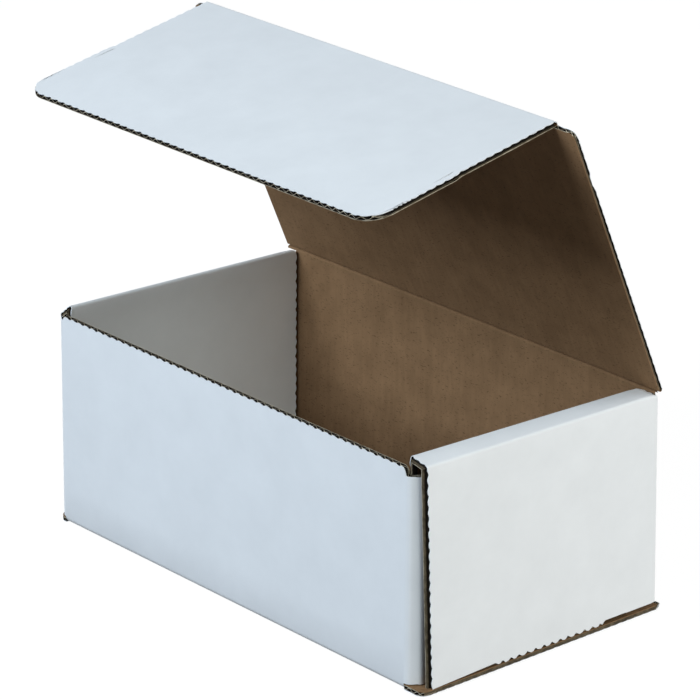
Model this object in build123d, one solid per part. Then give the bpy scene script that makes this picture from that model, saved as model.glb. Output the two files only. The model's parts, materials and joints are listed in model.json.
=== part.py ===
from build123d import *
import os
from math import atan2, ceil, cos, degrees, floor, radians, sin

os.makedirs("parts", exist_ok=True)

# Open mailer box, folded from one sheet of B-flute corrugated board.
# Millimetres. +Z up, the front wall faces -Y, the end walls face -X and +X.
# The origin is the centre of the tray's underside. The lid stands open.

# Board
BOARD = 3.0
LINER = 0.4
FLUTE_PITCH = 6.3125
FLUTE_WALL = 0.9
FLUTE_END_DEPTH = 5.0
CHANNEL_DEPTH = 1.6
SEAT_GAP = 0.3
OVERRUN = 2.0

# Front wall, bottom and back wall
DEPTH = 183.8
FOLD_TO_FOLD = 303.0
FRONT_WALL_TOP = 132.0
BEND_RADIUS = 4.5
WALL_CORNER_RADIUS = 4.5

# Bottom panel, which runs on past the front wall's folds, less so at the left end
EAR_LENGTH = 15.5
EAR_CORNER_RADIUS = 5.5
LEFT_EAR_LENGTH = 7.8
LEFT_EAR_CORNER_RADIUS = 7.5

# Dust flaps
DUST_FLAP_DEPTH = 85.0
DUST_FLAP_DROP = 4.8
DUST_FLAP_LIFT = 0.5

# Outer end panels; the right one stands off and leans in towards the top, the left one is upright
END_LEAN = 3.5
END_FRONT_SETBACK = 6.2
END_TAB_START_SHARE = 0.29
END_TAB_END_SHARE = 0.735
END_RELIEF = 3.0
END_CREASE_RISE = 3.2
END_CREASE_FALL = 2.3

# Roll-over strips and inner end panels
INNER_FACE_SETBACK = 2.4
INNER_FRONT_SETBACK = 7.0
INNER_BACK_CLEARANCE = 1.4
CREST_RISE = 5.3
CREST_FALL = 3.9
CREST_LEVEL_LENGTH = 20.0
STRIP_END_DROP = 4.0
STRIP_END_LENGTH = 8.0

# Lid
HINGE_RISE = 2.3
LID_OPENING = 66.3
LID_LENGTH = 185.8
LID_SIDE_OVERHANG = 8.5
LID_CORNER_RADIUS = 4.5

# Front flap
FLAP_BEND = 77.4
FLAP_LENGTH = 138.0
FLAP_SIDE_SETBACK = 3.0
FLAP_STEP = 1.2
FLAP_STEP_SHARE = 0.52
FLAP_CORNER_RADIUS = 15.0

HALF_BOARD = BOARD / 2
HALF_DEPTH = DEPTH / 2
HALF_FOLD = FOLD_TO_FOLD / 2
BOTTOM_RIGHT = HALF_FOLD + EAR_LENGTH
BOTTOM_LEFT = HALF_FOLD + LEFT_EAR_LENGTH
HINGE_Y = HALF_DEPTH - HALF_BOARD
HINGE_HEIGHT = FRONT_WALL_TOP + HINGE_RISE
BACK_WALL_TOP = HINGE_HEIGHT - HALF_BOARD - SEAT_GAP


def board(*corners):
    """One flat panel of board, from the corners of its middle surface."""
    face = make_face(Polyline(*corners, close=True))
    return extrude(face, HALF_BOARD, both=True)


def crease(start, end, section_normal):
    """The rounded fold between two panels, from the ends of its middle line."""
    line = Line(start, end)
    section = Plane(origin=start, z_dir=section_normal) * Circle(HALF_BOARD)
    return extrude(section, line.length, dir=line % 0)


def flute_ends(start_x, end_x):
    """The open ends of the flutes across a raw edge: triangles that point up and down in turn."""
    half_base = (FLUTE_PITCH - FLUTE_WALL) / 2
    peak = HALF_BOARD - LINER
    holes = []
    for step in range(ceil(start_x * 2 / FLUTE_PITCH), floor(end_x * 2 / FLUTE_PITCH) + 1):
        middle = step * FLUTE_PITCH / 2
        if middle - half_base < start_x or middle + half_base > end_x:
            continue
        way = 1 if step % 2 else -1
        corners = ((middle - half_base, peak * way), (middle + half_base, peak * way), (middle, -peak * way))
        holes.append(make_face(Polyline(*corners, close=True)))
    return Sketch() + holes


def open_flutes(plane, start_x, end_x):
    """Cutter for the flute ends along a raw edge; the plane looks out of the edge, X along it."""
    return extrude(plane * flute_ends(start_x, end_x), FLUTE_END_DEPTH, both=True)


def channel(start, end, inward):
    """Cutter for the long gap between the liners where a raw edge runs with the flutes."""
    line = Line(start, end)
    plane = Plane(origin=start, x_dir=inward, z_dir=line % 0)
    return extrude(plane * Rectangle(CHANNEL_DEPTH * 2, BOARD - LINER * 2), line.length)


def twisted_board(start, end):
    """Board between two level-ended lines, each from (x, y, z) to (x, y, z) at one y."""
    sections = []
    for outer, inner in (start, end):
        slope = degrees(atan2(inner[2] - outer[2], outer[0] - inner[0]))
        width = ((inner[2] - outer[2]) ** 2 + (outer[0] - inner[0]) ** 2) ** 0.5
        place = Plane(origin=outer, x_dir=(-1, 0, 0), z_dir=(0, 1, 0)) * Rot(0, 0, slope)
        sections.append(place * Rectangle(width, BOARD, align=(Align.MIN, Align.CENTER)))
    return loft(sections, ruled=True)


def bend(start_x, end_x, centre_y, start_angle):
    """A quarter turn of board along X, a soft fold."""
    inner_radius = BEND_RADIUS - BOARD
    ring = Circle(BEND_RADIUS) - Circle(inner_radius)
    reach = BEND_RADIUS + OVERRUN
    corner = Rot(0, 0, start_angle) * Rectangle(reach, reach, align=(Align.MIN, Align.MIN))
    plane = Plane(origin=(start_x, centre_y, BEND_RADIUS), x_dir=(0, 1, 0), z_dir=(1, 0, 0))
    return extrude(plane * (ring & corner), end_x - start_x)


def bottom_panel():
    """The bottom, with its rounded front ears past the folds."""
    front = -HALF_DEPTH
    back = HALF_DEPTH - BEND_RADIUS
    outline = Polyline(
        (-BOTTOM_LEFT, front), (BOTTOM_RIGHT, front), (BOTTOM_RIGHT, back), (-BOTTOM_LEFT, back), close=True
    )
    sheet = make_face(outline)
    ears = ((1, BOTTOM_RIGHT, EAR_CORNER_RADIUS), (-1, BOTTOM_LEFT, LEFT_EAR_CORNER_RADIUS))
    for side, reach, radius in ears:
        corner = sheet.vertices().group_by(Axis.Y)[0].sort_by(Axis.X)[-1 if side > 0 else 0]
        sheet = fillet(corner, radius)
    panel = extrude(sheet, BOARD)
    under_bend = Box(
        FOLD_TO_FOLD, BEND_RADIUS, BOARD + OVERRUN, align=(Align.CENTER, Align.MIN, Align.MIN)
    )
    panel -= Pos(0, front, -HALF_BOARD) * under_bend
    for side, reach, radius in ears:
        x = reach * side
        start = (x, front + radius, HALF_BOARD)
        panel -= channel(start, (x, back - BOARD, HALF_BOARD), (-side, 0, 0))
    return panel


def front_wall():
    """The front wall with its rounded top corners and raw top edge, and the bend that carries it."""
    height = FRONT_WALL_TOP - BEND_RADIUS
    wall = Pos(0, -HALF_DEPTH, BEND_RADIUS) * Box(
        FOLD_TO_FOLD, BOARD, height, align=(Align.CENTER, Align.MIN, Align.MIN)
    )
    top_corners = wall.edges().filter_by(Axis.Y).group_by(Axis.Z)[-1]
    wall = fillet(top_corners, WALL_CORNER_RADIUS)
    top_edge = Plane(origin=(0, -HALF_DEPTH + HALF_BOARD, FRONT_WALL_TOP), x_dir=(1, 0, 0), z_dir=(0, 0, 1))
    reach = HALF_FOLD - WALL_CORNER_RADIUS
    wall -= open_flutes(top_edge, -reach, reach)
    return wall + bend(-HALF_FOLD, HALF_FOLD, BEND_RADIUS - HALF_DEPTH, 180)


def dust_flap(side):
    """The front wall's end flap, round its soft corner and back into the end wall."""
    centre = (HALF_FOLD, WALL_CORNER_RADIUS - HALF_DEPTH)
    inner_radius = WALL_CORNER_RADIUS - BOARD
    ring = Pos(*centre) * (Circle(WALL_CORNER_RADIUS) - Circle(inner_radius))
    reach = WALL_CORNER_RADIUS + OVERRUN
    corner = Pos(*centre) * Rectangle(reach, reach, align=(Align.MIN, Align.MAX))
    run = Pos(HALF_FOLD + inner_radius, centre[1]) * Rectangle(
        BOARD, DUST_FLAP_DEPTH, align=(Align.MIN, Align.MIN)
    )
    low = BOARD + DUST_FLAP_LIFT
    top = FRONT_WALL_TOP - DUST_FLAP_DROP
    flap = extrude(Pos(0, 0, low) * ((ring & corner) + run), top - low)
    middle_x = HALF_FOLD + inner_radius + HALF_BOARD
    top_edge = Plane(origin=(middle_x, 0, top), x_dir=(0, 1, 0), z_dir=(0, 0, 1))
    end = centre[1] + DUST_FLAP_DEPTH
    flap -= open_flutes(top_edge, centre[1], end)
    flap -= channel((middle_x, end, low), (middle_x, end, top), (0, -1, 0))
    return flap if side > 0 else mirror(flap, Plane.YZ)


def back_wall():
    """The back wall with its ends as the end walls stand, its bend and its rounded top."""
    middle_y = HALF_DEPTH - HALF_BOARD
    top = BACK_WALL_TOP - HALF_BOARD
    low_x = BOTTOM_RIGHT - END_LEAN * BEND_RADIUS / BACK_WALL_TOP - WALL_CORNER_RADIUS
    top_x = BOTTOM_RIGHT - END_LEAN - WALL_CORNER_RADIUS
    left_x = WALL_CORNER_RADIUS - BOTTOM_LEFT
    wall = board(
        (left_x, middle_y, BEND_RADIUS),
        (low_x, middle_y, BEND_RADIUS),
        (top_x, middle_y, top),
        (left_x, middle_y, top),
    )
    rim = crease((left_x, middle_y, top), (top_x, middle_y, top), (1, 0, 0))
    foot = bend(-BOTTOM_LEFT, BOTTOM_RIGHT, HALF_DEPTH - BEND_RADIUS, 270)
    return wall + rim + foot


def fold_height(y, rise, fall):
    """Middle of a fold along the end wall, which falls from the front to the back."""
    front = -HALF_DEPTH + INNER_FRONT_SETBACK
    level = HALF_DEPTH - CREST_LEVEL_LENGTH
    share = (y - front) / (level - front)
    return FRONT_WALL_TOP + rise - fall * share - HALF_BOARD


class EndWall:
    """One hollow end wall, without the dust flap inside it, built at +X."""

    def __init__(self, reach, lean):
        self.reach = reach
        self.angle = atan2(lean, FRONT_WALL_TOP)

    def leaning(self, shape):
        """Tilts what is built upright with its outer face at x = 0 to the wall's lean."""
        return Pos(self.reach, 0, 0) * Rot(0, -degrees(self.angle), 0) * shape

    def lean_point(self, y, up_panel):
        """A point of the outer panel's middle surface."""
        x = self.reach - HALF_BOARD * cos(self.angle) - up_panel * sin(self.angle)
        return (x, y, up_panel * cos(self.angle) - HALF_BOARD * sin(self.angle))

    def back_corner(self):
        """The upright soft fold from the back wall into the outer panel."""
        ring = Circle(WALL_CORNER_RADIUS) - Circle(WALL_CORNER_RADIUS - BOARD)
        corner = WALL_CORNER_RADIUS + OVERRUN
        quarter = ring & Rectangle(corner, corner, align=(Align.MIN, Align.MIN))
        centre = Pos(-WALL_CORNER_RADIUS, HALF_DEPTH - WALL_CORNER_RADIUS, BEND_RADIUS)
        return self.leaning(extrude(centre * quarter, BACK_WALL_TOP - HALF_BOARD - BEND_RADIUS))

    def outer_panel(self):
        """The outer panel, its bottom edge cut to one long tab between two reliefs."""
        front = -HALF_DEPTH + END_FRONT_SETBACK
        back = HALF_DEPTH - WALL_CORNER_RADIUS
        tab_start = front + (HALF_DEPTH - front) * END_TAB_START_SHARE
        tab_end = front + (HALF_DEPTH - front) * END_TAB_END_SHARE
        tab_foot = BOARD + SEAT_GAP
        relief_foot = tab_foot + END_RELIEF
        crease_front = fold_height(front, END_CREASE_RISE, END_CREASE_FALL)
        crease_back = fold_height(back, END_CREASE_RISE, END_CREASE_FALL)
        points = (
            (front, relief_foot),
            (tab_start - END_RELIEF, tab_foot + SEAT_GAP),
            (tab_start, tab_foot),
            (tab_end, tab_foot),
            (tab_end + END_RELIEF, relief_foot),
            (back, relief_foot),
            (back, crease_back),
            (front, crease_front),
        )
        outline = Plane.YZ * make_face(Polyline(*points, close=True))
        panel = extrude(outline, BOARD, dir=(-1, 0, 0))
        tab_edge = Plane(origin=(-HALF_BOARD, 0, tab_foot), x_dir=(0, 1, 0), z_dir=(0, 0, 1))
        panel -= open_flutes(tab_edge, tab_start, tab_end)
        relief_edge = Plane(origin=(-HALF_BOARD, 0, relief_foot), x_dir=(0, 1, 0), z_dir=(0, 0, 1))
        panel -= open_flutes(relief_edge, tab_end + END_RELIEF, back - BOARD)
        low_end = (-HALF_BOARD, front, relief_foot + BOARD)
        panel -= channel(low_end, (-HALF_BOARD, front, crease_front - BOARD), (0, 1, 0))
        return self.leaning(panel)

    def roll_over(self):
        """The strip over the end wall and the inner panel that goes down from it."""
        front = -HALF_DEPTH + INNER_FRONT_SETBACK
        back = HALF_DEPTH - BOARD - INNER_BACK_CLEARANCE
        fall = back - STRIP_END_LENGTH
        inner_x = HALF_FOLD - INNER_FACE_SETBACK + HALF_BOARD
        outer = []
        inner = []
        for y in (front, fall):
            outer.append(self.lean_point(y, fold_height(y, END_CREASE_RISE, END_CREASE_FALL)))
            inner.append((inner_x, y, fold_height(y, CREST_RISE, CREST_FALL)))
        outer_end = self.lean_point(back, outer[1][2] - STRIP_END_DROP)
        inner_end = (inner_x, back, outer_end[2])
        foot = BOARD + SEAT_GAP
        strip = twisted_board((outer[0], inner[0]), (outer[1], inner[1]))
        tail = twisted_board((outer[1], inner[1]), (outer_end, inner_end))
        panel = board((inner_x, front, foot), (inner_x, back, foot), inner_end, inner[1], inner[0])
        for y, height, inward in ((front, inner[0][2], 1), (back, inner_end[2], -1)):
            panel -= channel((inner_x, y, foot + BOARD), (inner_x, y, height - BOARD), (0, inward, 0))
        end_direction = Line(inner[1], inner_end) % 0
        wall = strip + tail + panel
        wall += crease(*outer, (0, 1, 0))
        wall += crease(*inner, (0, 1, 0))
        return wall + crease(inner[1], inner_end, end_direction)

    def build(self):
        return self.back_corner() + self.outer_panel() + self.roll_over()


def make_tray():
    right = EndWall(BOTTOM_RIGHT, END_LEAN).build()
    left = EndWall(BOTTOM_LEFT, 0).build()
    tray = bottom_panel() + front_wall() + back_wall()
    tray = tray + dust_flap(1) + right
    return tray + dust_flap(-1) + mirror(left, Plane.YZ)


def lid_frame():
    """The lid's middle plane: X across, Y from the hinge to the front edge, Z outward."""
    angle = radians(LID_OPENING)
    along = Vector(0, -cos(angle), sin(angle))
    across = Vector(-1, 0, 0)
    return Plane(origin=(0, HINGE_Y, HINGE_HEIGHT), x_dir=across, z_dir=across.cross(along))


def make_lid():
    half = HALF_FOLD + LID_SIDE_OVERHANG
    front = LID_LENGTH - BOARD - SEAT_GAP
    sheet = Rectangle(half * 2, front, align=(Align.CENTER, Align.MIN))
    corners = sheet.vertices().group_by(Axis.Y)[-1]
    sheet = fillet(corners, LID_CORNER_RADIUS)
    panel = extrude(sheet, HALF_BOARD, both=True)
    shoulder = (HALF_FOLD - FLAP_SIDE_SETBACK, half - LID_CORNER_RADIUS)
    front_edge = Plane(origin=(0, front, 0), x_dir=(1, 0, 0), z_dir=(0, 1, 0))
    panel -= open_flutes(front_edge, *shoulder)
    panel -= open_flutes(front_edge, -shoulder[1], -shoulder[0])
    for side in (1, -1):
        x = half * side
        panel -= channel((x, BOARD, 0), (x, front - LID_CORNER_RADIUS, 0), (-side, 0, 0))
    return lid_frame().location * (panel + crease((-half, 0, 0), (half, 0, 0), (1, 0, 0)))


def make_flap():
    half = HALF_FOLD - FLAP_SIDE_SETBACK
    wide = half + FLAP_STEP
    length = FLAP_LENGTH - HALF_BOARD
    step = length * FLAP_STEP_SHARE
    root = Rectangle(half * 2, step, align=(Align.CENTER, Align.MIN))
    free = Pos(0, step) * Rectangle(wide * 2, length - step, align=(Align.CENTER, Align.MIN))
    free = fillet(free.vertices().group_by(Axis.Y)[-1], FLAP_CORNER_RADIUS)
    panel = extrude(root + free, HALF_BOARD, both=True)
    free_edge = Plane(origin=(0, length, 0), x_dir=(1, 0, 0), z_dir=(0, 1, 0))
    panel -= open_flutes(free_edge, FLAP_CORNER_RADIUS - wide, wide - FLAP_CORNER_RADIUS)
    for side in (1, -1):
        inward = (-side, 0, 0)
        panel -= channel((half * side, BOARD, 0), (half * side, step, 0), inward)
        panel -= channel((wide * side, step + BOARD, 0), (wide * side, length - FLAP_CORNER_RADIUS, 0), inward)
    axis_place = Pos(0, LID_LENGTH - HALF_BOARD, 0) * Rot(-FLAP_BEND, 0, 0)
    return lid_frame().location * axis_place * (panel + crease((-half, 0, 0), (half, 0, 0), (1, 0, 0)))


def save(name, shape):
    solids = shape.solids()
    print(name, len(solids), "solid", round(sum(s.volume for s in solids)))
    export_step(solids[0] if len(solids) == 1 else Compound(solids), f"parts/{name}.step")


save("tray", make_tray())
save("lid", make_lid())
save("front_flap", make_flap())
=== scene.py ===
import json
from math import acos, atan2, cos, hypot, pi, radians, sin, sqrt

import bpy
import bmesh
from mathutils import Matrix, Vector, noise


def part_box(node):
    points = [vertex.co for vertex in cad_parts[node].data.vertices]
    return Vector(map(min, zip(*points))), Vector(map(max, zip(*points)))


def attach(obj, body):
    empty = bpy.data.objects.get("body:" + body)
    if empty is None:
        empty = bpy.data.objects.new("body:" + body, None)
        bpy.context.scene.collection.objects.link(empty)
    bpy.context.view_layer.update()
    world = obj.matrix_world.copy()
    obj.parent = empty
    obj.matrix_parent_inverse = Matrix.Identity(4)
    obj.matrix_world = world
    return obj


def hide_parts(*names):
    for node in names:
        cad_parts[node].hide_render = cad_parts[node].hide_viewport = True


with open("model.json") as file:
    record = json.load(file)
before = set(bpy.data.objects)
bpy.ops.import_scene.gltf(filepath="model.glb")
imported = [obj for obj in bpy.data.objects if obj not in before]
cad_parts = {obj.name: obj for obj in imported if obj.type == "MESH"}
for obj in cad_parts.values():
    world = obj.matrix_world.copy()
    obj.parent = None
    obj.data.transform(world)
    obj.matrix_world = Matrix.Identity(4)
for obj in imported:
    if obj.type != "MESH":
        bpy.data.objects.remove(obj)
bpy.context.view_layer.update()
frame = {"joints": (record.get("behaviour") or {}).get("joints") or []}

# Sizes that the solids give, in metres
TRAY_LOW, TRAY_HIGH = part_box("tray")
JOINTS = {joint["name"]: joint for joint in frame["joints"]}
HALF_DEPTH = TRAY_HIGH[1]
HINGE = Vector(JOINTS["lid_hinge"]["pos_m"])
FLAP_AXIS = Vector(JOINTS["flap_hinge"]["pos_m"])

# Board: two liners with a fluted sheet between them. Offsets count outward from its middle, and
# those above OUTER_LINER lie in the outer liner
BOARD = 0.003
HALF_BOARD = BOARD / 2
LINER = 0.0004
OUTER_LINER = HALF_BOARD - LINER * 1.5
FLUTE_SHEET = 0.00036
FLUTE_SWING = HALF_BOARD - LINER - FLUTE_SHEET / 2
FLUTE_PITCH = 0.0063125
FLUTE_REACH = 0.010
SEAT_GAP = 0.0003

# Raw edges: the outer liner is cut back unevenly, and the fluted sheet is pressed at the cut
EDGE_BAND = 0.004
EDGE_RECESS = 0.0002
PRESSED_LENGTH = 0.0010
PRESSED_THICKNESS = 0.0010
PACKED_THICKNESS = 0.0021
SEEN_REACH = FLUTE_PITCH * 0.7
SCALLOP_DEPTH = 0.0010
SCALLOP_MEAN = 0.8
SCALLOP_WANDER = 0.6
WANDER_RATE = 160
RAGGED_DEPTH = 0.00025
RAGGED_RATE = 900
RAGGED_SEED = 5
CRUSH_SHARE = 0.6
CRUSH_RATE = 140
CRUSH_SEEDS = (3, 2)
DUST_FLAP_RAGGED = 0.3
EAR_RAGGED = 0.3
LID_RAGGED = 0.35

# What each edge of a panel or an end wall adds to the seed of its scallops
HIGH_EDGE_SEED = 3
SIDE_EDGE_SEED = 7
BACK_EDGE_SEED = 5
TAB_EDGE_SEED = 9

# How finely the board is divided. Steps of a band, the middle and the foot are shares of it
FINE_STEP = FLUTE_PITCH / 6
SEEN_STEP = FLUTE_PITCH / 12
WAVE_POINTS = 10
PLAIN_STEP = 0.020
BEND_STEP = 0.0014
SHORTEST_STRETCH = 1e-6
FOLD_ANGLE_STEP = pi / 12
TURN_STEPS = 5
COARSE_STEPS = (16, 2, 16)
FINE_STEPS = (105, 12, 105)
FRONT_BAND_STEP = 0.25
BACK_BAND_STEP = 0.5
MIDDLE_STEP = 1 / 24
FOOT_STEP = 1 / 170

# Front wall, bottom and back wall
HALF_FOLD = 0.1515
FRONT_WALL_TOP = 0.132
BACK_WALL_TOP = HINGE.z - HALF_BOARD - SEAT_GAP
WALL_CORNER_RADIUS = 0.0045
FOLD_RADIUS = 0.0034
CORNER_MIDDLE = WALL_CORNER_RADIUS - HALF_BOARD
CORNER_LENGTH = CORNER_MIDDLE * pi / 2
FOLD_MIDDLE = FOLD_RADIUS - HALF_BOARD
FOLD_LENGTH = FOLD_MIDDLE * pi / 2
WALL_LENGTH = FRONT_WALL_TOP - FOLD_RADIUS
FLOOR_START = WALL_LENGTH + FOLD_LENGTH
FLOOR_END = FLOOR_START + 2 * (HALF_DEPTH - FOLD_RADIUS)
DUST_FLAP_DEPTH = 0.085
DUST_FLAP_FOOT = 0.0036
SPRING_ANGLE = radians(50)
BACK_FLAP_DEPTH = 0.020
BACK_CORNER_DROP = 0.006
RIM_WHITE_SHARE = 0.33
RIM_LIP = 0.002

# End walls: outer panel, strip over the top, inner panel
END_FRONT = -HALF_DEPTH + 0.0062
END_FOOT = 0.0031
END_RELIEF = 0.0025
END_FRONT_RELIEF = 0.0018
TAB_SINK = 0.0002
TAB_RAGGED = 2.0
END_TAB_START_SHARE = 0.29
END_TAB_END_SHARE = 0.735
TAB_STEP_SLOPE = 60.0
OUTER_CREASE_FRONT = 0.1352
OUTER_CREASE_BACK = 0.1329
CREST_FRONT = 0.1373
CREST_BACK = 0.1334
CREST_LEVEL_LENGTH = 0.020
INNER_FOOT = 0.0034
INNER_FRONT = -HALF_DEPTH + 0.0036
INNER_BACK = HALF_DEPTH - 0.0044
INNER_X = HALF_FOLD - 0.0024 + HALF_BOARD
STRIP_END_LENGTH = 0.008
STRIP_END_DROP = 0.0012
LINER_SETBACK = 0.0009
END_FLARE = 0.0010
END_FLARE_LENGTH = 0.012
RUN_LENGTHS = (0.13, 0.0155, 0.13)
FOOT_SHARE = EDGE_BAND / RUN_LENGTHS[0]
FOOT_PITCHES = (HALF_DEPTH - END_FRONT) / FLUTE_PITCH
FOOT_WAVE_SHARES = (0.003, 0.03, 0.06)
FOOT_WAVE_START = 0.03
FOOT_WAVE_END = 0.97

# Lid and front flap
LID_ANGLE = atan2(FLAP_AXIS.z - HINGE.z, HINGE.y - FLAP_AXIS.y)
LID_REACH = hypot(FLAP_AXIS.z - HINGE.z, HINGE.y - FLAP_AXIS.y)
LID_HALF = HALF_FOLD + 0.0098
LID_SHIFT = 0.0013
LID_CORNER_RADIUS = 0.0045
LID_WHITE_SHARE = 0.35
FLAP_ANGLE = radians(-11.1)
FLAP_HALF = HALF_FOLD - 0.003
FLAP_STEP = 0.0012
FLAP_STEP_SHARE = 0.52
FLAP_STEP_LENGTH = 0.004
FLAP_REACH = 0.1365
FLAP_CORNER_RADIUS = 0.015
FLAP_WHITE_SHARE = 0.6
DENT_PLACE = 0.148
DENT_LENGTH = 0.006
DENT_DEPTH = 0.0012

# Paper: colour stops of each noise, from its low values to its high ones
WHITE_STOPS = ((0.3, (0.78, 0.79, 0.80)), (0.7, (0.82, 0.83, 0.84)))
KRAFT_STOPS = ((0.3, (0.210, 0.120, 0.058)), (0.7, (0.275, 0.160, 0.080)))
FLUTE_STOPS = ((0.35, (0.05, 0.038, 0.023)), (0.65, (0.14, 0.108, 0.066)))
# Painted shade: the stops below are near-black, for faces inside the board's flute voids where shade falls
HOLLOW_SHADE_STOPS = ((0.3, (0.008, 0.006, 0.004)), (0.7, (0.016, 0.011, 0.008)))
CUT_STOPS = ((0.35, (0.22, 0.17, 0.11)), (0.65, (0.62, 0.55, 0.42)))
STREAK_STOPS = ((0.32, (0.86, 0.85, 0.84)), (0.68, (1, 1, 1)))
FLECK_STOPS = ((0.30, (0.45, 0.42, 0.40)), (0.38, (1, 1, 1)))
STREAK_STRENGTH = 0.8
SHEET_GRAIN = 45
EDGE_GRAIN = 260

# Sockets of a colour Mix node, whose names repeat
MIX_FACTOR = 0
MIX_FIRST = 6
MIX_SECOND = 7
MIX_RESULT = 2

# Camera: the near fold's foot is at this pixel of the 700 pixel frame
IMAGE_SIZE = 700
ANCHOR = Vector((HALF_FOLD, -HALF_DEPTH, 0))
ANCHOR_PIXEL = (403.33, 689.46)
CAMERA_AZIMUTH = radians(48.642)
CAMERA_ELEVATION = radians(21.113)
CAMERA_ROLL = radians(0.479)
CAMERA_FOCAL_PIXELS = 4267.0
CAMERA_DISTANCE = 2.346
CAMERA_CLIP_END = 20
SENSOR_WIDTH = 36.0

# Lamps: name, place, what it points at, width, height, power, colour
LAMPS = (
    ("front_lamp", (-0.4, -1.8, 1.25), (0, 0, 0.1), 1.2, 0.9, 47, (0.78, 0.89, 1.0)),
    ("right_lamp", (1.75, 0.95, 0.09), (0.1, 0, 0.06), 1.2, 0.1, 18.5, (1.0, 0.995, 0.99)),
    ("fill_lamp", (1.7, -0.1, 0.95), (0, 0, 0.08), 0.8, 0.5, 12, (0.93, 1.0, 0.97)),
    ("top_lamp", (0.6, 0.7, 2.1), (0, 0, 0.2), 1.2, 1.2, 8, (0.93, 0.97, 1.0)),
)

# World and floor
WORLD_COLOUR = (0.93, 0.96, 1, 1)
WORLD_STRENGTH = 0.04
SEEN_COLOUR = (1, 1, 1, 1)
SEEN_STRENGTH = 1.0
FLOOR_SIZE = 6.0
FLOOR_DROP = 0.0003
FLOOR_GREY = 0.09
FLOOR_ROUGHNESS = 0.9
FLOOR_GLOW = 0.93


# Materials

def node_tree(name):
    material = bpy.data.materials.new(name)
    material.use_nodes = True
    nodes = material.node_tree.nodes
    nodes.clear()
    output = nodes.new("ShaderNodeOutputMaterial")
    shader = nodes.new("ShaderNodeBsdfPrincipled")
    material.node_tree.links.new(shader.outputs["BSDF"], output.inputs["Surface"])
    return material, nodes, material.node_tree.links, shader


def noise_node(nodes, links, scale, detail, stretch=(1, 1, 1), roughness=0.6):
    """A noise texture in the object's own frame, stretched along each axis."""
    place = nodes.new("ShaderNodeTexCoord")
    mapping = nodes.new("ShaderNodeMapping")
    mapping.inputs["Scale"].default_value = stretch
    texture = nodes.new("ShaderNodeTexNoise")
    texture.inputs["Scale"].default_value = scale
    texture.inputs["Detail"].default_value = detail
    texture.inputs["Roughness"].default_value = roughness
    links.new(place.outputs["Object"], mapping.inputs["Vector"])
    links.new(mapping.outputs["Vector"], texture.inputs["Vector"])
    return texture


def ramp_node(nodes, links, source, stops):
    ramp = nodes.new("ShaderNodeValToRGB")
    elements = ramp.color_ramp.elements
    while len(elements) > 1:
        elements.remove(elements[-1])
    elements[0].position = stops[0][0]
    elements[0].color = (*stops[0][1], 1)
    for position, colour in stops[1:]:
        elements.new(position).color = (*colour, 1)
    links.new(source, ramp.inputs["Fac"])
    return ramp


def multiply_node(nodes, links, strength, first, second):
    mix = nodes.new("ShaderNodeMix")
    mix.data_type = "RGBA"
    mix.blend_type = "MULTIPLY"
    mix.inputs[MIX_FACTOR].default_value = strength
    links.new(first, mix.inputs[MIX_FIRST])
    links.new(second, mix.inputs[MIX_SECOND])
    return mix.outputs[MIX_RESULT]


def add_bump(nodes, links, shader, height, strength, distance):
    bump = nodes.new("ShaderNodeBump")
    bump.inputs["Strength"].default_value = strength
    bump.inputs["Distance"].default_value = distance
    links.new(height, bump.inputs["Height"])
    links.new(bump.outputs["Normal"], shader.inputs["Normal"])


def white_liner():
    """Bleached white paper: faint mottle, faint fibres and a matte face."""
    material, nodes, links, shader = node_tree("white_liner")
    cloud = noise_node(nodes, links, scale=38, detail=4)
    mottle = ramp_node(nodes, links, cloud.outputs["Fac"], WHITE_STOPS)
    links.new(mottle.outputs["Color"], shader.inputs["Base Color"])
    fibre = noise_node(nodes, links, scale=900, detail=6, roughness=0.7)
    add_bump(nodes, links, shader, fibre.outputs["Fac"], strength=0.12, distance=0.0002)
    shader.inputs["Roughness"].default_value = 0.62
    shader.inputs["Specular IOR Level"].default_value = 0.3
    return material


def kraft(name, stops, fleck_strength, grain=SHEET_GRAIN):
    """Brown kraft paper: streaks along the flutes, mottle and dark fibre flecks."""
    material, nodes, links, shader = node_tree(name)
    cloud = noise_node(nodes, links, scale=grain, detail=5)
    base = ramp_node(nodes, links, cloud.outputs["Fac"], stops)
    streak = noise_node(nodes, links, scale=420, detail=3, stretch=(1, 0.12, 0.12))
    streaks = ramp_node(nodes, links, streak.outputs["Fac"], STREAK_STOPS)
    streaked = multiply_node(nodes, links, STREAK_STRENGTH, base.outputs["Color"], streaks.outputs["Color"])
    fleck = noise_node(nodes, links, scale=1500, detail=2, stretch=(0.35, 1, 1), roughness=0.5)
    flecks = ramp_node(nodes, links, fleck.outputs["Fac"], FLECK_STOPS)
    colour = multiply_node(nodes, links, fleck_strength, streaked, flecks.outputs["Color"])
    links.new(colour, shader.inputs["Base Color"])
    add_bump(nodes, links, shader, streak.outputs["Fac"], strength=0.25, distance=0.0003)
    shader.inputs["Roughness"].default_value = 0.82
    shader.inputs["Specular IOR Level"].default_value = 0.2
    return material


MATERIALS = (
    white_liner(),
    kraft("kraft_liner", KRAFT_STOPS, 0.9),
    kraft("fluted_sheet", FLUTE_STOPS, 0.6, grain=EDGE_GRAIN),
    # Painted shade: the near-black kraft below stands in for the shade inside the board's flute voids
    kraft("flute_hollow_painted_shade", HOLLOW_SHADE_STOPS, 0.3),
    kraft("cut_edge", CUT_STOPS, 0.5, grain=EDGE_GRAIN),
)
WHITE, KRAFT, FLUTE, HOLLOW_SHADE, CUT = range(len(MATERIALS))


# Board in code: a rule turns (across the flutes, along them, offset from the middle) into a place

def spread(start, end, step):
    """Evenly spaced values from start to end, about a step apart."""
    count = max(1, round(abs(end - start) / step))
    return [start + (end - start) * i / count for i in range(count + 1)]


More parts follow.
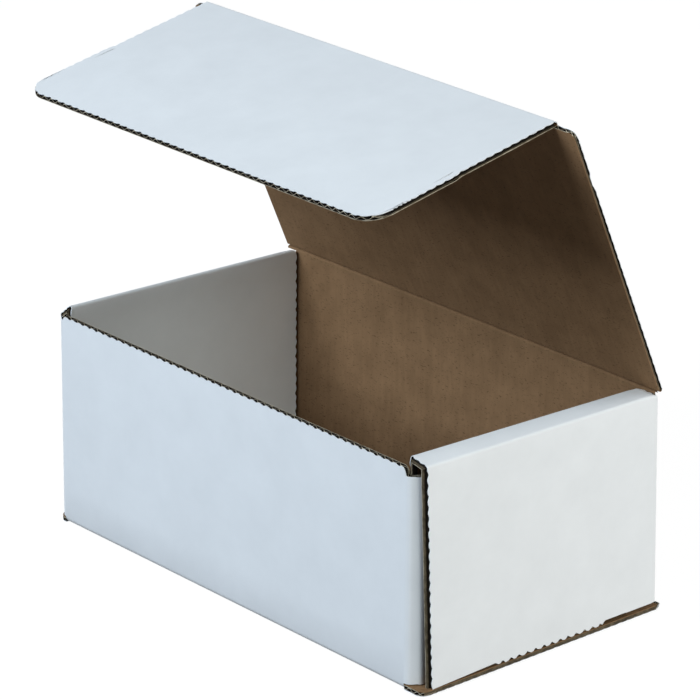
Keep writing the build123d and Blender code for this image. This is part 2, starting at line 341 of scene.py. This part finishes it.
def add_shell(mesh, upper_points, lower_points, upper_slot, lower_slot, rim_slot):
    """A closed thin shell between two grids of points, one above the other."""
    upper = [[mesh.verts.new(point) for point in row] for row in upper_points]
    lower = [[mesh.verts.new(point) for point in row] for row in lower_points]
    end = len(upper) - 1
    side = len(upper[0]) - 1

    def face(slot, smooth, *corners):
        made = mesh.faces.new(corners)
        made.material_index = slot
        made.smooth = smooth
        if not smooth:
            for edge in made.edges:
                edge.smooth = False

    for i in range(end):
        for j in range(side):
            face(upper_slot, True, upper[i][j], upper[i][j + 1], upper[i + 1][j + 1], upper[i + 1][j])
            face(lower_slot, True, lower[i][j], lower[i + 1][j], lower[i + 1][j + 1], lower[i][j + 1])
    for j in range(side):
        face(rim_slot, False, upper[0][j], lower[0][j], lower[0][j + 1], upper[0][j + 1])
        face(rim_slot, False, upper[end][j], upper[end][j + 1], lower[end][j + 1], lower[end][j])
    for i in range(end):
        face(rim_slot, False, upper[i][0], upper[i + 1][0], lower[i + 1][0], lower[i][0])
        face(rim_slot, False, upper[i][side], lower[i][side], lower[i + 1][side], upper[i + 1][side])


def add_layer(mesh, point, rows, columns, offset, upper_slot, lower_slot, rim_slot):
    """One liner: a shell whose upper face lies at the offset."""
    upper = [[point(u, v, offset) for u in columns] for v in rows]
    lower = [[point(u, v, offset - LINER) for u in columns] for v in rows]
    add_shell(mesh, upper, lower, upper_slot, lower_slot, rim_slot)


def add_liners(mesh, point, rows, columns, inner_slot=KRAFT, cut_slot=CUT):
    """The white outer liner and the kraft inner one. Their faces towards the fluted sheet are painted
    near-black, as painted shade inside the board.
    """
    add_layer(mesh, point, rows, columns, HALF_BOARD, WHITE, HOLLOW_SHADE, WHITE)
    add_layer(mesh, point, rows, columns, LINER - HALF_BOARD, HOLLOW_SHADE, inner_slot, cut_slot)


def add_wave(mesh, point, rows, columns, wave, face_slot, thickness=FLUTE_SHEET):
    """A stretch of the fluted sheet. The wave gives its height at a column."""
    half = thickness / 2
    upper = [[point(u, v, wave(u) + half) for u in columns] for v in rows]
    lower = [[point(u, v, wave(u) - half) for u in columns] for v in rows]
    rim_slot = CUT if face_slot == HOLLOW_SHADE else FLUTE
    add_shell(mesh, upper, lower, face_slot, face_slot, rim_slot)


def scallop(position, seed):
    """How far the cut wanders into the outer liner along a raw edge: one dip for each flute."""
    wave = 0.5 + 0.5 * cos(2 * pi * position / FLUTE_PITCH)
    wander = noise.noise(Vector((position * WANDER_RATE, seed, 0)))
    fine = noise.noise(Vector((position * RAGGED_RATE, seed, RAGGED_SEED)))
    dip = SCALLOP_DEPTH * wave ** 2 * (SCALLOP_MEAN + SCALLOP_WANDER * wander)
    return max(0, dip + RAGGED_DEPTH * (0.5 + fine))


def full_wave(u):
    """The fluted sheet across a raw edge, crushed here and there."""
    crush = 1 + CRUSH_SHARE * noise.noise(Vector((u * CRUSH_RATE, *CRUSH_SEEDS)))
    return FLUTE_SWING * sin(2 * pi * u / FLUTE_PITCH) * min(1, crush)


def foot_wave(share):
    """The fluted sheet along an outer end panel's foot, by the share of the panel's depth."""
    return FLUTE_SWING * sin(2 * pi * share * FOOT_PITCHES)


def add_seen_sheet(mesh, point, rows, edge, way, pressed, slot=FLUTE):
    """The fluted sheet inside a raw edge that runs with it: pressed at the cut, waving behind it. The waving
    part is painted near-black, as painted shade in the flutes.
    """
    def level(u):
        return LINER - HALF_BOARD + pressed / 2

    def wave(u):
        return -FLUTE_SWING * cos(2 * pi * (abs(u - edge) - PRESSED_LENGTH) / FLUTE_PITCH)

    cut, behind, end = (edge + way * reach for reach in (EDGE_RECESS, PRESSED_LENGTH, SEEN_REACH))
    add_wave(mesh, point, rows, sorted(spread(cut, behind, SEEN_STEP)), level, slot, pressed)
    add_wave(mesh, point, rows, sorted(spread(behind, end, SEEN_STEP)), wave, HOLLOW_SHADE)


def level_limit(value):
    def limit(u):
        return value
    return limit


class Panel:
    """One flat or bent stretch of board between limits across and along the flutes.

    A limit along may be a rule that follows the column. Raw edges show the fluted sheet."""

    def __init__(self, place, across, along, raw_across=(False, False), raw_along=(False, False),
                 seed=0, ragged=1.0, pressed=PRESSED_THICKNESS, side_slots=(CUT, FLUTE),
                 bends=(), dents=()):
        self.place = place
        self.across = across
        self.along = [limit if callable(limit) else level_limit(limit) for limit in along]
        self.raw_across = raw_across
        self.raw_along = raw_along
        self.seed = seed
        self.ragged = ragged
        self.pressed = pressed
        self.side_slots = side_slots
        self.bends = bends
        self.dents = dents
        middle = (across[0] + across[1]) / 2
        self.low = self.along[0](middle)
        self.high = self.along[1](middle)

    def side_shift(self, v, distance, end):
        """How far an edge that runs with the flutes stands back, fading out over a short band."""
        dent = sum(DENT_DEPTH * max(0, 1 - (abs(v - place) / DENT_LENGTH) ** 2) for place in self.dents)
        cut = self.ragged * scallop(v, self.seed + SIDE_EDGE_SEED + end)
        return (cut + (dent if end else 0)) * max(0, 1 - distance / EDGE_BAND)

    def end_shifts(self, u, outer):
        """How far the two edges that cross the flutes lie from their places at the middle column."""
        low_shift = self.along[0](u) - self.low
        high_shift = self.along[1](u) - self.high
        if outer and self.raw_along[0]:
            low_shift += self.ragged * scallop(u, self.seed)
        if outer and self.raw_along[1]:
            high_shift -= self.ragged * scallop(u, self.seed + HIGH_EDGE_SEED)
        return low_shift, high_shift

    def point(self, u, v, offset):
        outer = offset > OUTER_LINER
        low_shift, high_shift = self.end_shifts(u, outer)
        band = max(EDGE_BAND, abs(low_shift) * 2, abs(high_shift) * 2)
        moved = v + low_shift * max(0, 1 - (v - self.low) / band)
        moved += high_shift * max(0, 1 - (self.high - v) / band)
        start, end = self.across
        if outer and self.raw_across[0]:
            u += self.side_shift(v, u - start, 0)
        if outer and self.raw_across[1]:
            u -= self.side_shift(v, end - u, 1)
        return self.place(u, moved, offset)

    def rows(self, step):
        """Stations along the panel, closer together through its bends."""
        stops = [self.low, self.low + EDGE_BAND]
        for start, end in self.bends:
            stops += [start, end]
        stops += [self.high - EDGE_BAND, self.high]
        stops = [stop for stop in stops if self.low <= stop <= self.high]
        rows = [self.low]
        for start, end in zip(stops, stops[1:]):
            if end - start < SHORTEST_STRETCH:
                continue
            rows += spread(start, end, BEND_STEP if (start, end) in self.bends else step)[1:]
        return rows

    def build(self, mesh):
        start, end = self.across
        inner_start = start + EDGE_BAND if self.raw_across[0] else start
        inner_end = end - EDGE_BAND if self.raw_across[1] else end
        add_liners(mesh, self.point, self.rows(PLAIN_STEP), spread(inner_start, inner_end, FINE_STEP))
        if self.raw_across[0]:
            self.build_side(mesh, start, inner_start)
        if self.raw_across[1]:
            self.build_side(mesh, end, inner_end)
        if self.raw_along[0]:
            reach = min(FLUTE_REACH, (self.high - self.low) / 2)
            self.build_end(mesh, self.low + EDGE_RECESS, self.low + reach)
        if self.raw_along[1]:
            self.build_end(mesh, self.high - FLUTE_REACH, self.high - EDGE_RECESS)

    def build_side(self, mesh, edge, inner):
        """The strip beside a raw edge that runs with the flutes, and the sheet seen inside it."""
        columns = sorted(spread(edge, inner, FINE_STEP))
        liner_slot, sheet_slot = self.side_slots
        add_liners(mesh, self.point, self.rows(FINE_STEP), columns, cut_slot=liner_slot)
        way = 1 if inner > edge else -1
        add_seen_sheet(mesh, self.point, self.rows(PLAIN_STEP), edge, way, self.pressed, sheet_slot)

    def build_end(self, mesh, low, high):
        """The fluted sheet that shows in a raw edge across it, painted near-black as painted shade in the
        flutes.
        """
        start, end = self.across
        columns = spread(start + EDGE_RECESS, end - EDGE_RECESS, FLUTE_PITCH / WAVE_POINTS)
        add_wave(mesh, self.point, spread(low, high, PLAIN_STEP), columns, full_wave, HOLLOW_SHADE)


def add_fold(mesh, columns, centre, outward, back, white_share):
    """A half-round fold: from the outer liner, round the back, to the inner one."""
    white_end = white_share * pi
    for start, end, slot in ((0, white_end, WHITE), (white_end, pi, KRAFT)):
        upper = []
        lower = []
        for turned in spread(start, end, FOLD_ANGLE_STEP):
            way = outward * cos(turned) + back * sin(turned)
            upper.append([centre + Vector((u, 0, 0)) + way * HALF_BOARD for u in columns])
            lower.append([centre + Vector((u, 0, 0)) + way * (HALF_BOARD - LINER) for u in columns])
        add_shell(mesh, upper, lower, slot, KRAFT, slot)


def finish_mesh(mesh, name, node, body):
    """Turns a bmesh into a piece that rides on its body in place of its solid."""
    data = bpy.data.meshes.new(name)
    bmesh.ops.recalc_face_normals(mesh, faces=mesh.faces)
    mesh.to_mesh(data)
    mesh.free()
    for material in MATERIALS:
        data.materials.append(material)
    piece = bpy.data.objects.new(name, data)
    bpy.context.scene.collection.objects.link(piece)
    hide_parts(node)
    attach(piece, body)


# Tray: the two ends, then its panels in plan and in section

class End:
    """How one end of the tray stands.

    side is 1 for the right end and -1 for the left one, reach is the bottom's half length there
    and lean is how far the outer panel leans inward over the front wall's height. spring is how far
    the dust flap springs outward, and crease_drop lowers the fold over the outer panel."""

    def __init__(self, side, reach, lean, ear_radius, corner_radius, flap_top, crease_drop, spring):
        self.side = side
        self.reach = reach
        self.slope = lean / FRONT_WALL_TOP
        self.ear_radius = ear_radius
        self.corner_radius = corner_radius
        self.flap_top = flap_top
        self.crease_drop = crease_drop
        self.spring = spring
        self.straight = reach - BOARD - WALL_CORNER_RADIUS
        self.raw_sides = (side < 0, side > 0)

    def middle_x(self, height):
        """Where the outer panel's middle stands at a height."""
        return self.reach - HALF_BOARD - self.slope * height

    def across(self, reach):
        """From the fold line out to a reach, as limits of a panel."""
        return sorted((self.side * HALF_FOLD, self.side * reach))


RIGHT_END = End(side=1, reach=TRAY_HIGH[0], lean=0.0035, ear_radius=0.0055,
                corner_radius=WALL_CORNER_RADIUS, flap_top=0.1272, crease_drop=0, spring=0.005)
LEFT_END = End(side=-1, reach=-TRAY_LOW[0], lean=0, ear_radius=0.0075,
               corner_radius=0.0020, flap_top=0.1298, crease_drop=0.0040, spring=0)


def end_at(u):
    return RIGHT_END if u > 0 else LEFT_END


def corner_drop(over, radius):
    """How far a rounded corner draws an edge back at a distance past the corner's start."""
    if over <= 0:
        return 0.0
    return radius - sqrt(max(0, radius ** 2 - over ** 2))


def sheet_place(u, v, offset):
    """The sheet from the front wall's top edge down, under the floor, and into the back wall."""
    reach = FOLD_MIDDLE + offset
    front = -HALF_DEPTH + FOLD_RADIUS
    if v <= WALL_LENGTH:
        return Vector((u, front - reach, FRONT_WALL_TOP - v))
    if v < FLOOR_START:
        angle = (v - WALL_LENGTH) / FOLD_MIDDLE
        return Vector((u, front - reach * cos(angle), FOLD_RADIUS - reach * sin(angle)))
    if v <= FLOOR_END:
        return Vector((u, front + v - FLOOR_START, HALF_BOARD - offset))
    angle = (v - FLOOR_END) / FOLD_MIDDLE
    return Vector((u, -front + reach * sin(angle), FOLD_RADIUS - reach * cos(angle)))


def ear_place(u, v, offset):
    """The bottom past the front wall's folds: flat from its front edge, then up the back bend."""
    flat = 2 * HALF_DEPTH - FOLD_RADIUS
    if v <= flat:
        return Vector((u, -HALF_DEPTH + v, HALF_BOARD - offset))
    return sheet_place(u, FLOOR_END + v - flat, offset)


def dust_flap_place(u, v, offset):
    """The dust flap in plan: a soft corner that springs outward towards the end wall, then straight back."""
    end = end_at(u)
    over = abs(u) - HALF_FOLD
    reach = CORNER_MIDDLE + offset
    sprung = min(max(0, over - SPRING_ANGLE * CORNER_MIDDLE), end.spring)
    turned = min((over - sprung) / CORNER_MIDDLE, pi / 2)
    straight = max(0, over - sprung - CORNER_LENGTH)
    x = HALF_FOLD + reach * sin(turned) + sprung * cos(SPRING_ANGLE)
    y = -HALF_DEPTH + WALL_CORNER_RADIUS - reach * cos(turned) + sprung * sin(SPRING_ANGLE) + straight
    return Vector((end.side * x, y, v))


def wall_top(u):
    """How far the front wall's top edge draws down at its rounded corners."""
    radius = end_at(u).corner_radius
    return corner_drop(abs(u) - (HALF_FOLD - radius), radius)


def ear_front(end):
    """How far the bottom's front edge draws back at its rounded ear."""
    def front(u):
        return corner_drop(abs(u) - (end.reach - end.ear_radius), end.ear_radius)
    return front


def back_place(u, v, offset):
    """The back wall in plan: its soft corners lead to flaps inside the end walls, and lean as these do."""
    end = end_at(u)
    over = abs(u) - end.straight
    reach = CORNER_MIDDLE + offset
    if over <= 0:
        x, y = abs(u), HALF_DEPTH - HALF_BOARD + offset
    else:
        angle = min(over / CORNER_MIDDLE, pi / 2)
        x = end.straight + reach * sin(angle)
        y = HALF_DEPTH - WALL_CORNER_RADIUS + reach * cos(angle) - max(0, over - CORNER_LENGTH)
    return Vector((end.side * (x - end.slope * v * x / end.reach), y, v))


def back_top(u):
    """The back wall ends below its rim fold, and its corners lower, out of sight."""
    over = abs(u) - end_at(u).straight
    return BACK_WALL_TOP - HALF_BOARD - BACK_CORNER_DROP * min(1, max(0, over) / CORNER_LENGTH)


def fold_height(y, at_front, at_back):
    """Middle height of a fold along the end wall at a depth."""
    level = HALF_DEPTH - CREST_LEVEL_LENGTH
    share = (y - INNER_FRONT) / (level - INNER_FRONT)
    height = at_front + (at_back - at_front) * share - HALF_BOARD
    fall = max(0, y - (INNER_BACK - STRIP_END_LENGTH)) / STRIP_END_LENGTH
    return height - STRIP_END_DROP * fall ** 2


def foot_share(y):
    """How far back a depth lies along the outer end panel's foot."""
    return (y - END_FRONT) / (HALF_DEPTH - END_FRONT)


def on_tab(y):
    return END_TAB_START_SHARE < foot_share(y) < END_TAB_END_SHARE


def end_foot(y):
    """The outer end panel's bottom edge: a tab between two reliefs."""
    share = foot_share(y)
    if share < END_TAB_START_SHARE:
        relief = END_FRONT_RELIEF * share / END_TAB_START_SHARE
        return END_FOOT + relief * min(1, (END_TAB_START_SHARE - share) * TAB_STEP_SLOPE)
    if share < END_TAB_END_SHARE:
        return END_FOOT - TAB_SINK * min(1, (share - END_TAB_START_SHARE) * TAB_STEP_SLOPE)
    rise = (TAB_SINK + END_RELIEF) * min(1, (share - END_TAB_END_SHARE) * TAB_STEP_SLOPE)
    return END_FOOT - TAB_SINK + rise


class Fold:
    """A section of flat runs joined by tight folds. Its normals start on the side of positive X."""

    def __init__(self, points):
        self.points = [Vector(point) for point in points]
        self.normals = []
        for a, b in zip(self.points, self.points[1:]):
            run = (b - a).normalized()
            self.normals.append(Vector((run.y, -run.x)))
        if self.normals[0].x < 0:
            self.normals = [-normal for normal in self.normals]

    def place(self, index, share, offset):
        """index counts the runs from 0. share goes from 0 to 1 along that run."""
        a, b = self.points[index], self.points[index + 1]
        shift = self.normals[index] * offset
        if offset < 0:
            if share == 0 and index > 0:
                shift = self.mitre(index) * offset
            if share == 1 and index + 1 < len(self.normals):
                shift = self.mitre(index + 1) * offset
        return a + (b - a) * share + shift

    def mitre(self, index):
        """The way to the corner on the inside of the fold before a run."""
        first, second = self.normals[index - 1], self.normals[index]
        middle = (first + second).normalized()
        return middle / middle.dot(first)

    def turn(self, index, share, offset):
        """A point on the rounded outside of the fold before a run."""
        first, second = self.normals[index - 1], self.normals[index]
        if offset < 0:
            return self.points[index] + self.mitre(index) * offset
        angle = acos(max(-1, min(1, first.dot(second))))
        sense = 1 if first.x * second.y - first.y * second.x > 0 else -1
        rotation = Matrix.Rotation(sense * angle * share, 2)
        return self.points[index] + (rotation @ first) * offset


def fold_route(run_steps):
    """The stations along a folded section: ("run" or "turn", index, share)."""
    stations = []
    for index, steps in enumerate(run_steps):
        for share in spread(0, 1, 1 / steps):
            if index == 0 or share > 0:
                stations.append(("run", index, share))
        if index + 1 < len(run_steps):
            for share in spread(0, 1, 1 / TURN_STEPS)[1:]:
                stations.append(("turn", index + 1, share))
    return stations


# Rules that turn the sheet's front, its back and a column into a depth

def in_front_band(front, back, share):
    return front + EDGE_BAND * share


def in_back_band(front, back, share):
    return back - EDGE_BAND * (1 - share)


def between_bands(front, back, share):
    return front + EDGE_BAND + (back - front - 2 * EDGE_BAND) * share


def over_depth(front, back, share):
    return front + (back - front) * share


def from_front(front, back, distance):
    return front + distance


def from_back(front, back, distance):
    return back - distance


class EndWall:
    """One rolled end wall: outer panel, strip over the top, inner panel."""

    def __init__(self, end):
        self.end = end
        self.seed = 20 + 3 * end.side

    def section(self, y):
        """The folded section at a depth, along the middle of the board."""
        outer = fold_height(y, OUTER_CREASE_FRONT, OUTER_CREASE_BACK) - self.end.crease_drop
        inner = fold_height(y, CREST_FRONT, CREST_BACK)
        return Fold((
            (self.end.middle_x(END_FOOT), END_FOOT),
            (self.end.middle_x(outer), outer),
            (INNER_X, inner),
            (INNER_X, INNER_FOOT),
        ))

    def limits(self, station):
        """Front and back of the sheet at a station. The outer panel's front edge leans forward."""
        kind, index, share = station
        if kind == "run" and index == 0:
            front = END_FRONT + (INNER_FRONT - END_FRONT) * share
            return front, HALF_DEPTH - WALL_CORNER_RADIUS
        return INNER_FRONT, INNER_BACK

    def length(self, station):
        """Distance along the section, from the outer panel's foot to a station."""
        kind, index, share = station
        return sum(RUN_LENGTHS[:index]) + (RUN_LENGTHS[index] * share if kind == "run" else 0)

    def cut(self, station, y):
        """How far the outer liner's raw edge stands back at a station, fading out behind it.

        The outer panel's back edge is straight."""
        front, back = self.limits(station)
        length = self.length(station)
        if station[1] > 0 and back - y < EDGE_BAND:
            return -scallop(length, self.seed + BACK_EDGE_SEED) * (1 - (back - y) / EDGE_BAND)
        if y - front < EDGE_BAND:
            return (LINER_SETBACK + scallop(length, self.seed)) * (1 - (y - front) / EDGE_BAND)
        return 0.0

    def rise(self, y, station, outer):
        """How far the outer panel's foot is raised at its reliefs and its ragged tab."""
        kind, index, share = station
        if kind != "run" or index > 0 or share >= FOOT_SHARE:
            return 0.0
        rise = end_foot(y) - END_FOOT
        if outer and on_tab(y):
            rise += TAB_RAGGED * scallop(y, self.seed + TAB_EDGE_SEED)
        return rise * (1 - share / FOOT_SHARE)

    def point(self, y, station, offset):
        """The place at a depth and a station. The outer panel's front flares inward."""
        kind, index, share = station
        if index == 0 and offset < 0:
            behind = y - self.limits(station)[0]
            offset -= END_FLARE * max(0, 1 - behind / END_FLARE_LENGTH) ** 2
        section = self.section(y)
        flat = (section.place if kind == "run" else section.turn)(index, share, offset)
        outer = offset > OUTER_LINER
        cut = self.cut(station, y) if outer else 0.0
        return Vector((self.end.side * flat.x, y + cut, flat.y + self.rise(y, station, outer)))

    def rule(self, depth):
        """A rule for the board whose columns become depths."""
        def place(column, station, offset):
            front, back = self.limits(station)
            return self.point(depth(front, back, column), station, offset)
        return place

    def build(self, mesh):
        coarse = fold_route(COARSE_STEPS)
        fine = fold_route(FINE_STEPS)
        feet = [("run", 0, share) for share in spread(0, FOOT_SHARE, FOOT_SHARE / 2)]
        upper = [feet[-1]] + coarse[1:]
        # Painted shade: in the front band, the inner liner's kraft face inside the rolled end wall is
        # painted near-black
        add_liners(mesh, self.rule(in_front_band), fine, spread(0, 1, FRONT_BAND_STEP), HOLLOW_SHADE)
        add_liners(mesh, self.rule(in_back_band), fine, spread(0, 1, BACK_BAND_STEP))
        add_liners(mesh, self.rule(between_bands), upper, spread(0, 1, MIDDLE_STEP))
        add_liners(mesh, self.rule(between_bands), feet, spread(0, 1, FOOT_STEP))
        add_seen_sheet(mesh, self.rule(from_front), coarse, 0, 1, PRESSED_THICKNESS)
        add_seen_sheet(mesh, self.rule(from_back), coarse, 0, 1, PRESSED_THICKNESS)
        # Painted shade: the sheet seen along the outer panel's raised foot is painted near-black
        raised = [("run", 0, share) for share in FOOT_WAVE_SHARES]
        columns = spread(FOOT_WAVE_START, FOOT_WAVE_END, 1 / (FOOT_PITCHES * WAVE_POINTS))
        add_wave(mesh, self.rule(over_depth), raised, columns, foot_wave, HOLLOW_SHADE)


def add_sheet(mesh):
    """The front wall, the bottom between the fold lines, and the bend up into the back wall."""
    sheet_end = FLOOR_END + FOLD_LENGTH
    bends = ((WALL_LENGTH, FLOOR_START), (FLOOR_END, sheet_end))
    Panel(sheet_place, (-HALF_FOLD, HALF_FOLD), (wall_top, sheet_end),
          raw_along=(True, False), seed=1, bends=bends).build(mesh)


def add_dust_flap(mesh, end):
    across = end.across(HALF_FOLD + CORNER_LENGTH + DUST_FLAP_DEPTH)
    Panel(dust_flap_place, across, (DUST_FLAP_FOOT, end.flap_top), end.raw_sides, (True, True),
          seed=2 + end.side, ragged=DUST_FLAP_RAGGED).build(mesh)


def add_ear(mesh, end):
    """The bottom's raw end, outside the fold lines of the front and back walls."""
    ear_end = 2 * HALF_DEPTH - FOLD_RADIUS + FOLD_LENGTH
    bends = ((ear_end - FOLD_LENGTH, ear_end),)
    Panel(ear_place, end.across(end.reach), (ear_front(end), ear_end), end.raw_sides, (True, False),
          seed=6 + end.side, ragged=EAR_RAGGED, pressed=PACKED_THICKNESS, side_slots=(KRAFT, KRAFT),
          bends=bends).build(mesh)


def add_back_wall(mesh):
    hidden = CORNER_LENGTH + BACK_FLAP_DEPTH
    across = (-LEFT_END.straight - hidden, RIGHT_END.straight + hidden)
    Panel(back_place, across, (FOLD_RADIUS, back_top), raw_along=(False, True), seed=9, ragged=0).build(mesh)
    rim = Vector((0, HALF_DEPTH - HALF_BOARD, BACK_WALL_TOP - HALF_BOARD))
    columns = spread(RIM_LIP - LID_HALF, LID_HALF - RIM_LIP, PLAIN_STEP)
    add_fold(mesh, columns, rim, Vector((0, 1, 0)), Vector((0, 0, 1)), RIM_WHITE_SHARE)


def make_tray():
    mesh = bmesh.new()
    add_sheet(mesh)
    for end in (RIGHT_END, LEFT_END):
        add_dust_flap(mesh, end)
        add_ear(mesh, end)
        EndWall(end).build(mesh)
    add_back_wall(mesh)
    finish_mesh(mesh, "tray_board", "tray", "tray")


# Lid and front flap

def tilted_place(origin, angle):
    """A flat panel from a crease: across is X, along runs at an angle above the forward direction."""
    along = Vector((0, -cos(angle), sin(angle)))
    outward = Vector((0, sin(angle), cos(angle)))

    def place(u, v, offset):
        return origin + Vector((u, 0, 0)) + along * v + outward * offset

    return place, along, outward


def rounded_end(half, length, radius):
    """The far edge of a panel whose two corners are rounded."""
    def end(u):
        over = abs(u) - (half - radius)
        if over <= 0:
            return length
        return length - radius + sqrt(max(0, radius ** 2 - min(over, radius) ** 2))
    return end


def stepped(place, length):
    """A panel that is a little wider over its outer part: columns spread out past the step."""
    narrow = FLAP_HALF / (FLAP_HALF + FLAP_STEP)

    def wider(u, v, offset):
        share = min(1, max(0, (v - length) / FLAP_STEP_LENGTH))
        return place(u * (narrow + (1 - narrow) * share), v, offset)

    return wider


def make_lid():
    mesh = bmesh.new()
    hinge = HINGE + Vector((LID_SHIFT, 0, 0))
    place, along, outward = tilted_place(hinge, LID_ANGLE)
    end = rounded_end(LID_HALF, LID_REACH - HALF_BOARD - SEAT_GAP, LID_CORNER_RADIUS)
    across = (-LID_HALF, LID_HALF)
    Panel(place, across, (0, end), (True, True), (False, True), seed=12, ragged=LID_RAGGED,
          side_slots=(KRAFT, KRAFT), dents=(DENT_PLACE,)).build(mesh)
    add_fold(mesh, spread(*across, PLAIN_STEP), hinge, outward, -along, LID_WHITE_SHARE)
    finish_mesh(mesh, "lid_board", "lid", "lid")


def make_flap():
    mesh = bmesh.new()
    place, along, outward = tilted_place(FLAP_AXIS, FLAP_ANGLE)
    wide = FLAP_HALF + FLAP_STEP
    end = rounded_end(wide, FLAP_REACH, FLAP_CORNER_RADIUS)
    shape = stepped(place, FLAP_REACH * FLAP_STEP_SHARE)
    Panel(shape, (-wide, wide), (0, end), (True, True), (False, True), seed=16,
          pressed=FLUTE_SHEET).build(mesh)
    columns = spread(-FLAP_HALF, FLAP_HALF, PLAIN_STEP)
    add_fold(mesh, columns, FLAP_AXIS, outward, -along, FLAP_WHITE_SHARE)
    finish_mesh(mesh, "flap_board", "front_flap", "front_flap")


# Camera, lamps, world and floor

def camera_axes():
    """Right, down and forward of the photograph's camera."""
    back = Vector((
        sin(CAMERA_AZIMUTH) * cos(CAMERA_ELEVATION),
        -cos(CAMERA_AZIMUTH) * cos(CAMERA_ELEVATION),
        sin(CAMERA_ELEVATION),
    ))
    forward = -back
    right = forward.cross(Vector((0, 0, 1))).normalized()
    down = forward.cross(right)
    rolled_right = right * cos(CAMERA_ROLL) - down * sin(CAMERA_ROLL)
    rolled_down = right * sin(CAMERA_ROLL) + down * cos(CAMERA_ROLL)
    return rolled_right, rolled_down, forward


def add_camera():
    right, down, forward = camera_axes()
    half = IMAGE_SIZE / 2
    u = (ANCHOR_PIXEL[0] - half) / CAMERA_FOCAL_PIXELS
    v = (ANCHOR_PIXEL[1] - half) / CAMERA_FOCAL_PIXELS
    place = ANCHOR - (right * u + down * v + forward) * CAMERA_DISTANCE
    data = bpy.data.cameras.new("camera")
    data.lens = SENSOR_WIDTH * CAMERA_FOCAL_PIXELS / IMAGE_SIZE
    data.sensor_width = SENSOR_WIDTH
    data.clip_end = CAMERA_CLIP_END
    camera = bpy.data.objects.new("camera", data)
    turned = Matrix((right, -down, -forward)).transposed().to_4x4()
    camera.matrix_world = Matrix.Translation(place) @ turned
    bpy.context.scene.collection.objects.link(camera)
    bpy.context.scene.camera = camera


def add_lamp(name, place, target, width, height, power, colour):
    data = bpy.data.lights.new(name, "AREA")
    data.shape = "RECTANGLE"
    data.size = width
    data.size_y = height
    data.energy = power
    data.color = colour
    lamp = bpy.data.objects.new(name, data)
    lamp.location = place
    lamp.rotation_euler = (Vector(target) - Vector(place)).to_track_quat("-Z", "Y").to_euler()
    bpy.context.scene.collection.objects.link(lamp)


def seen_rays(nodes, links):
    """1 for rays of the camera, and for those that a mirror or glass passes on to it."""
    rays = nodes.new("ShaderNodeLightPath")
    source = rays.outputs["Is Camera Ray"]
    for name in ("Is Glossy Ray", "Is Transmission Ray"):
        joined = nodes.new("ShaderNodeMath")
        joined.operation = "MAXIMUM"
        links.new(source, joined.inputs[0])
        links.new(rays.outputs[name], joined.inputs[1])
        source = joined.outputs[0]
    return source


def add_world():
    """Faint soft light on the box, and plain white where the world itself is seen."""
    world = bpy.data.worlds.new("world")
    bpy.context.scene.world = world
    world.use_nodes = True
    nodes = world.node_tree.nodes
    links = world.node_tree.links
    nodes.clear()
    output = nodes.new("ShaderNodeOutputWorld")
    soft = nodes.new("ShaderNodeBackground")
    soft.inputs["Color"].default_value = WORLD_COLOUR
    soft.inputs["Strength"].default_value = WORLD_STRENGTH
    plain = nodes.new("ShaderNodeBackground")
    plain.inputs["Color"].default_value = SEEN_COLOUR
    plain.inputs["Strength"].default_value = SEEN_STRENGTH
    mix = nodes.new("ShaderNodeMixShader")
    links.new(seen_rays(nodes, links), mix.inputs["Fac"])
    links.new(soft.outputs[0], mix.inputs[1])
    links.new(plain.outputs[0], mix.inputs[2])
    links.new(mix.outputs[0], output.inputs["Surface"])


def floor_paper():
    """Grey for the light that falls on the box, and glowing almost white where it is seen."""
    material, nodes, links, shader = node_tree("floor_paper")
    shader.inputs["Base Color"].default_value = (FLOOR_GREY, FLOOR_GREY, FLOOR_GREY, 1)
    shader.inputs["Roughness"].default_value = FLOOR_ROUGHNESS
    glow = nodes.new("ShaderNodeEmission")
    glow.inputs["Strength"].default_value = FLOOR_GLOW
    both = nodes.new("ShaderNodeAddShader")
    links.new(shader.outputs["BSDF"], both.inputs[0])
    links.new(glow.outputs["Emission"], both.inputs[1])
    mix = nodes.new("ShaderNodeMixShader")
    links.new(seen_rays(nodes, links), mix.inputs["Fac"])
    links.new(shader.outputs["BSDF"], mix.inputs[1])
    links.new(both.outputs["Shader"], mix.inputs[2])
    output = next(node for node in nodes if node.type == "OUTPUT_MATERIAL")
    links.new(mix.outputs["Shader"], output.inputs["Surface"])
    return material


def add_floor():
    """A pale floor that looks white wherever the box leaves it lit."""
    mesh = bmesh.new()
    bmesh.ops.create_grid(mesh, x_segments=1, y_segments=1, size=FLOOR_SIZE)
    data = bpy.data.meshes.new("floor")
    mesh.to_mesh(data)
    mesh.free()
    floor = bpy.data.objects.new("floor", data)
    floor.location.z = -FLOOR_DROP
    bpy.context.scene.collection.objects.link(floor)
    data.materials.append(floor_paper())


make_tray()
make_lid()
make_flap()
add_camera()
for lamp in LAMPS:
    add_lamp(*lamp)
add_world()
add_floor()
bpy.context.scene.view_settings.view_transform = "Standard"
